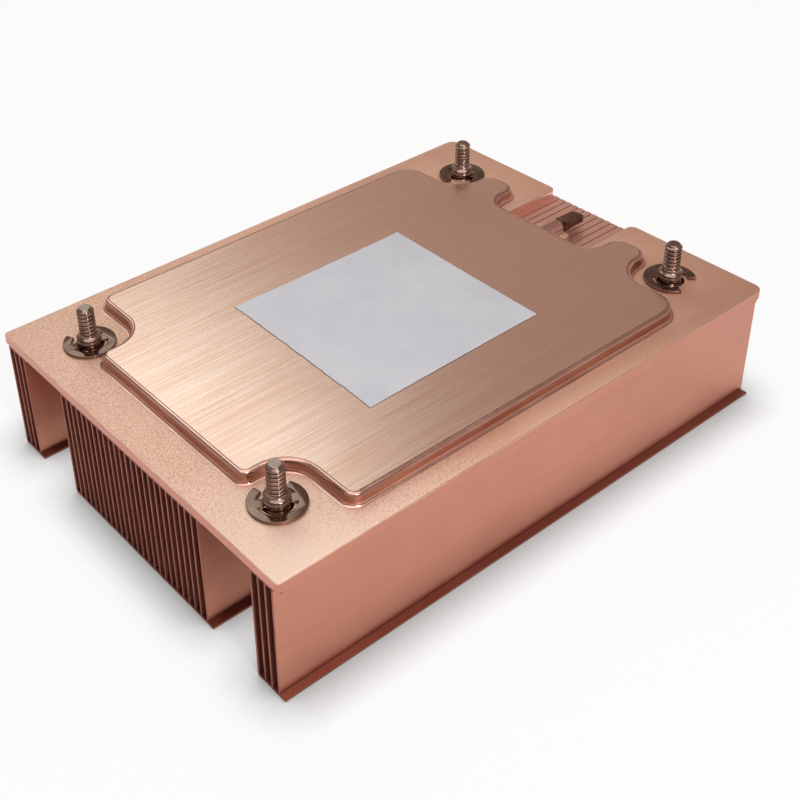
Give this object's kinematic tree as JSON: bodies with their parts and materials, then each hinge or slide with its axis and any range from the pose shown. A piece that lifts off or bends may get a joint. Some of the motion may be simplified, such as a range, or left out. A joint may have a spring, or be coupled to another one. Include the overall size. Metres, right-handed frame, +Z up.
{
  "type": "passive server cpu heatsink",
  "caption": "Low passive copper heatsink with a vapour chamber base, folded fins in separate groups, a thermal pad on its plateau and captive spring screws.",
  "frame": {"origin": "middle of the box round the part, on the level of the fins' lower folds", "axes": "+X along the fins towards the notch, +Y across them, +Z up to the face for the processor"},
  "size_m": [0.115, 0.0832, 0.0329],
  "materials": {
    "chamber_copper": "bead blasted flange with a brushed plateau",
    "fin_copper": "smooth rolled sheet",
    "wick_copper": "sintered",
    "tube_copper": "darkened by heat",
    "pad_grey": "matte",
    "screw_steel": "dark nickel plate",
    "spring_steel": "bright wire"
  },
  "bodies": {
    "root": {"evaporator_shell": "chamber_copper", "condenser_plate": "chamber_copper", "evaporator_wick": "wick_copper", "condenser_wick": "wick_copper", "support_columns": "wick_copper", "fill_tube": "tube_copper", "interface_pad": "pad_grey", "fin_back_01": "fin_copper", "fin_back_02": "fin_copper", "fin_back_03": "fin_copper", "fin_back_04": "fin_copper", "fin_centre_01": "fin_copper", "fin_centre_02": "fin_copper", "fin_centre_03": "fin_copper", "fin_centre_04": "fin_copper", "fin_centre_05": "fin_copper", "fin_centre_06": "fin_copper", "fin_centre_07": "fin_copper", "fin_centre_08": "fin_copper", "fin_centre_09": "fin_copper", "fin_centre_10": "fin_copper", "fin_centre_11": "fin_copper", "fin_centre_12": "fin_copper", "fin_centre_13": "fin_copper", "fin_centre_14": "fin_copper", "fin_centre_15": "fin_copper", "fin_centre_16": "fin_copper", "fin_centre_17": "fin_copper", "fin_centre_18": "fin_copper", "fin_centre_19": "fin_copper", "fin_centre_20": "fin_copper", "fin_centre_21": "fin_copper", "fin_centre_22": "fin_copper", "fin_centre_23": "fin_copper", "fin_centre_24": "fin_copper", "fin_centre_25": "fin_copper", "fin_front_01": "fin_copper", "fin_front_02": "fin_copper", "fin_front_03": "fin_copper", "fin_front_04": "fin_copper", "spring_1": "spring_steel", "spring_2": "spring_steel", "spring_3": "spring_steel", "spring_4": "spring_steel"},
    "clip_1": {"retaining_clip_1": "screw_steel"},
    "turning_screw_1": {"screw_1": "screw_steel"},
    "clip_2": {"retaining_clip_2": "screw_steel"},
    "turning_screw_2": {"screw_2": "screw_steel"},
    "clip_3": {"retaining_clip_3": "screw_steel"},
    "turning_screw_3": {"screw_3": "screw_steel"},
    "clip_4": {"retaining_clip_4": "screw_steel"},
    "turning_screw_4": {"screw_4": "screw_steel"}
  },
  "joints": [
    {"name": "screw_1_lift", "type": "slide", "parent": "root", "child": "clip_1", "axis": [0, 0, 1], "range_m": [0, 0.0035], "stiffness_N_per_m": 3000, "springref_m": -0.002, "deforming": ["spring_1"]},
    {"name": "screw_1_turn", "type": "hinge", "parent": "clip_1", "child": "turning_screw_1", "pos_m": [-0.047, 0.028, 0.0248], "axis": [0, 0, 1], "continuous": true},
    {"name": "screw_2_lift", "type": "slide", "parent": "root", "child": "clip_2", "axis": [0, 0, 1], "range_m": [0, 0.0035], "stiffness_N_per_m": 3000, "springref_m": -0.002, "deforming": ["spring_2"]},
    {"name": "screw_2_turn", "type": "hinge", "parent": "clip_2", "child": "turning_screw_2", "pos_m": [-0.047, -0.028, 0.0248], "axis": [0, 0, 1], "continuous": true},
    {"name": "screw_3_lift", "type": "slide", "parent": "root", "child": "clip_3", "axis": [0, 0, 1], "range_m": [0, 0.0035], "stiffness_N_per_m": 3000, "springref_m": -0.002, "deforming": ["spring_3"]},
    {"name": "screw_3_turn", "type": "hinge", "parent": "clip_3", "child": "turning_screw_3", "pos_m": [0.047, -0.028, 0.0248], "axis": [0, 0, 1], "continuous": true},
    {"name": "screw_4_lift", "type": "slide", "parent": "root", "child": "clip_4", "axis": [0, 0, 1], "range_m": [0, 0.0035], "stiffness_N_per_m": 3000, "springref_m": -0.002, "deforming": ["spring_4"]},
    {"name": "screw_4_turn", "type": "hinge", "parent": "clip_4", "child": "turning_screw_4", "pos_m": [0.047, 0.028, 0.0248], "axis": [0, 0, 1], "continuous": true}
  ]
}
